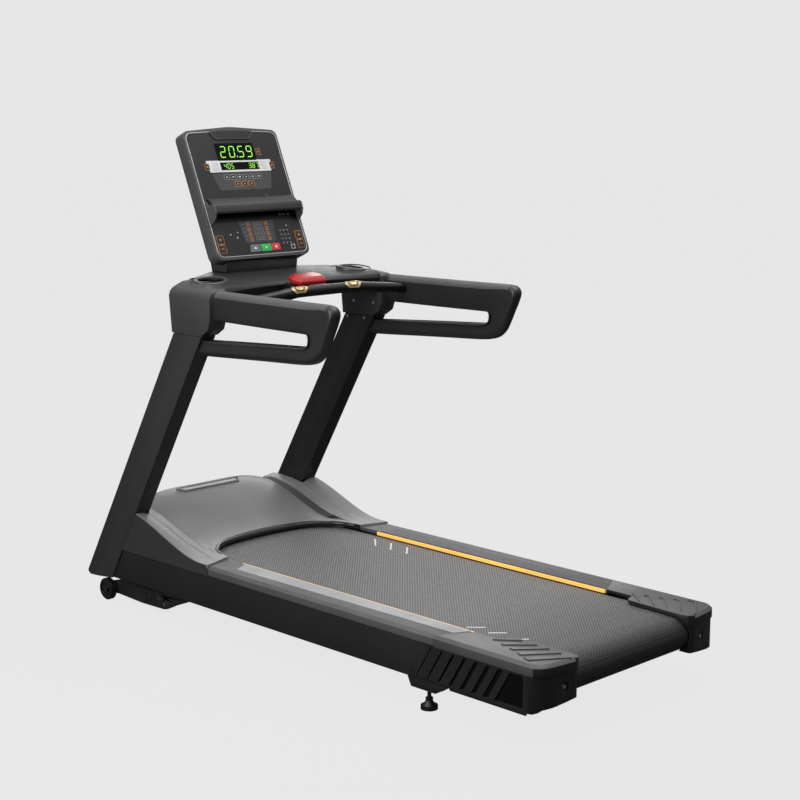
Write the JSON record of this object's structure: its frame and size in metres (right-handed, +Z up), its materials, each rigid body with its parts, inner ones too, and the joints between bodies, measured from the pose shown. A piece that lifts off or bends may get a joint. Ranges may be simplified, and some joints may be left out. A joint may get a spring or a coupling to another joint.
{
  "type": "treadmill",
  "caption": "Gym treadmill with raked uprights, tilted display console, looped handrails, grip bar, stop paddle, covered motor bay and powered incline lift.",
  "frame": {"origin": "floor level, midway along the length and across the width", "axes": "+Z up, +Y towards the console end the user faces, +X to the user's right"},
  "size_m": [0.8602, 2.0932, 1.6227],
  "materials": {
    "frame_steel": "satin black powder coat",
    "bare_steel": "turned",
    "motor_can": "ribbed casting",
    "flywheel_iron": "machined",
    "belt_rubber": "textured",
    "poly_belt": "ribbed",
    "deck_wood": "waxed",
    "cushion": "soft",
    "pan_plastic": "moulded",
    "electronics": "finned",
    "inlet": "moulded",
    "wheel": "smooth",
    "foot": "moulded",
    "rail": "fine grain",
    "tread_strip": "satin",
    "light_strip": "diffuse",
    "cap": "fine grain",
    "cover": "fine grain",
    "plate": "satin",
    "side_cover": "fine grain",
    "post": "satin black",
    "post_skin": "fine grain",
    "cowl": "fine grain",
    "cup": "moulded",
    "handrail": "soft touch",
    "grip": "smooth",
    "contact_plate": "brushed",
    "stop_base": "moulded",
    "stop_red": "gloss",
    "neck": "moulded",
    "shell": "fine grain",
    "face": "satin overlay",
    "display": "smoked lens",
    "shelf": "fine grain",
    "key_green": "satin",
    "key_red": "satin",
    "key_dark": "satin",
    "screw": "zinc"
  },
  "bodies": {
    "frame": {"side_beam_left": "frame_steel", "side_beam_right": "frame_steel", "cross_members": "frame_steel", "motor_pan": "pan_plastic", "drive_motor": "motor_can", "drive_belt": "poly_belt", "roller_axles": "bare_steel", "roller_mounts": "frame_steel", "motor_controller": "electronics", "power_inlet": "inlet", "incline_jack": "motor_can", "foot_brackets": "frame_steel", "deck_board": "deck_wood", "deck_cushions": "cushion", "running_belt": "belt_rubber", "side_rail_left": "rail", "side_rail_right": "rail", "rail_tread_strips": "tread_strip", "rail_light_strips": "light_strip", "end_cap_left": "cap", "end_cap_right": "cap", "motor_cover": "cover", "cover_plate": "plate", "motor_side_covers": "side_cover", "upright_left": "post", "upright_right": "post", "upright_skins": "post_skin", "cowl_left": "cowl", "cowl_right": "cowl", "cowl_bridge": "cowl", "cup_wells": "cup", "handrail_left": "handrail", "handrail_right": "handrail", "grip_bar": "grip", "pulse_plates": "contact_plate", "stop_base": "stop_base", "console_neck": "neck", "console_shell": "shell", "console_face": "face", "display_windows": "display", "reading_shelf": "shelf", "frame_screws": "screw"},
    "front_roller": {"front_roller": "bare_steel", "roller_pulley": "electronics"},
    "rear_roller": {"rear_roller": "bare_steel"},
    "motor_rotor": {"motor_shaft": "bare_steel", "flywheel": "flywheel_iron"},
    "lift": {"lift_frame": "frame_steel"},
    "wheel_left": {"transport_wheel_left": "wheel"},
    "wheel_right": {"transport_wheel_right": "wheel"},
    "jack": {"jack_screw": "bare_steel"},
    "foot_left": {"levelling_foot_left": "foot"},
    "foot_right": {"levelling_foot_right": "foot"},
    "stop_paddle": {"stop_button": "stop_red"},
    "key_start": {"start_key": "key_green"},
    "key_stop": {"stop_key": "key_red"},
    "key_incline_up": {"incline_up_key": "key_dark"},
    "key_incline_down": {"incline_down_key": "key_dark"},
    "key_speed_up": {"speed_up_key": "key_dark"},
    "key_speed_down": {"speed_down_key": "key_dark"}
  },
  "joints": [
    {"name": "front_roller_spin", "type": "hinge", "parent": "frame", "child": "front_roller", "pos_m": [0, 0.64, 0.165], "axis": [1, 0, 0], "continuous": true},
    {"name": "rear_roller_spin", "type": "hinge", "parent": "frame", "child": "rear_roller", "pos_m": [0, -0.984, 0.165], "axis": [1, 0, 0], "continuous": true},
    {"name": "motor_spin", "type": "hinge", "parent": "frame", "child": "motor_rotor", "pos_m": [0, 0.85, 0.2], "axis": [1, 0, 0], "continuous": true},
    {"name": "lift_pivot", "type": "hinge", "parent": "frame", "child": "lift", "pos_m": [0, 0.63, 0.062], "axis": [-1, 0, 0], "range_deg": [0, 24]},
    {"name": "wheel_left_spin", "type": "hinge", "parent": "lift", "child": "wheel_left", "pos_m": [-0.399, 0.938, 0.038], "axis": [1, 0, 0], "continuous": true},
    {"name": "wheel_right_spin", "type": "hinge", "parent": "lift", "child": "wheel_right", "pos_m": [0.399, 0.938, 0.038], "axis": [1, 0, 0], "continuous": true},
    {"name": "jack_travel", "type": "slide", "parent": "frame", "child": "jack", "axis": [0, 0, -1], "range_m": [0, 0.0587]},
    {"name": "foot_left_screw", "type": "slide", "parent": "frame", "child": "foot_left", "axis": [0, 0, -1], "range_m": [0, 0.012]},
    {"name": "foot_right_screw", "type": "slide", "parent": "frame", "child": "foot_right", "axis": [0, 0, -1], "range_m": [0, 0.012]},
    {"name": "stop_press", "type": "slide", "parent": "frame", "child": "stop_paddle", "axis": [0, 0.165, -0.9863], "range_m": [0, 0.004], "stiffness_N_per_m": 1500},
    {"name": "start_key_press", "type": "slide", "parent": "frame", "child": "key_start", "axis": [0, 0.9184, -0.3955], "range_m": [0, 0.001], "stiffness_N_per_m": 800},
    {"name": "stop_key_press", "type": "slide", "parent": "frame", "child": "key_stop", "axis": [0, 0.9184, -0.3955], "range_m": [0, 0.001], "stiffness_N_per_m": 800},
    {"name": "incline_up_key_press", "type": "slide", "parent": "frame", "child": "key_incline_up", "axis": [0, 0.9184, -0.3955], "range_m": [0, 0.001], "stiffness_N_per_m": 800},
    {"name": "incline_down_key_press", "type": "slide", "parent": "frame", "child": "key_incline_down", "axis": [0, 0.9184, -0.3955], "range_m": [0, 0.001], "stiffness_N_per_m": 800},
    {"name": "speed_up_key_press", "type": "slide", "parent": "frame", "child": "key_speed_up", "axis": [0, 0.9184, -0.3955], "range_m": [0, 0.001], "stiffness_N_per_m": 800},
    {"name": "speed_down_key_press", "type": "slide", "parent": "frame", "child": "key_speed_down", "axis": [0, 0.9184, -0.3955], "range_m": [0, 0.001], "stiffness_N_per_m": 800}
  ],
  "couplings": [
    {"joint": "rear_roller_spin", "follows": "front_roller_spin", "ratio": 1},
    {"joint": "motor_spin", "follows": "front_roller_spin", "ratio": 2.3333},
    {"joint": "jack_travel", "follows": "lift_pivot", "m_per_rad": 0.14}
  ]
}
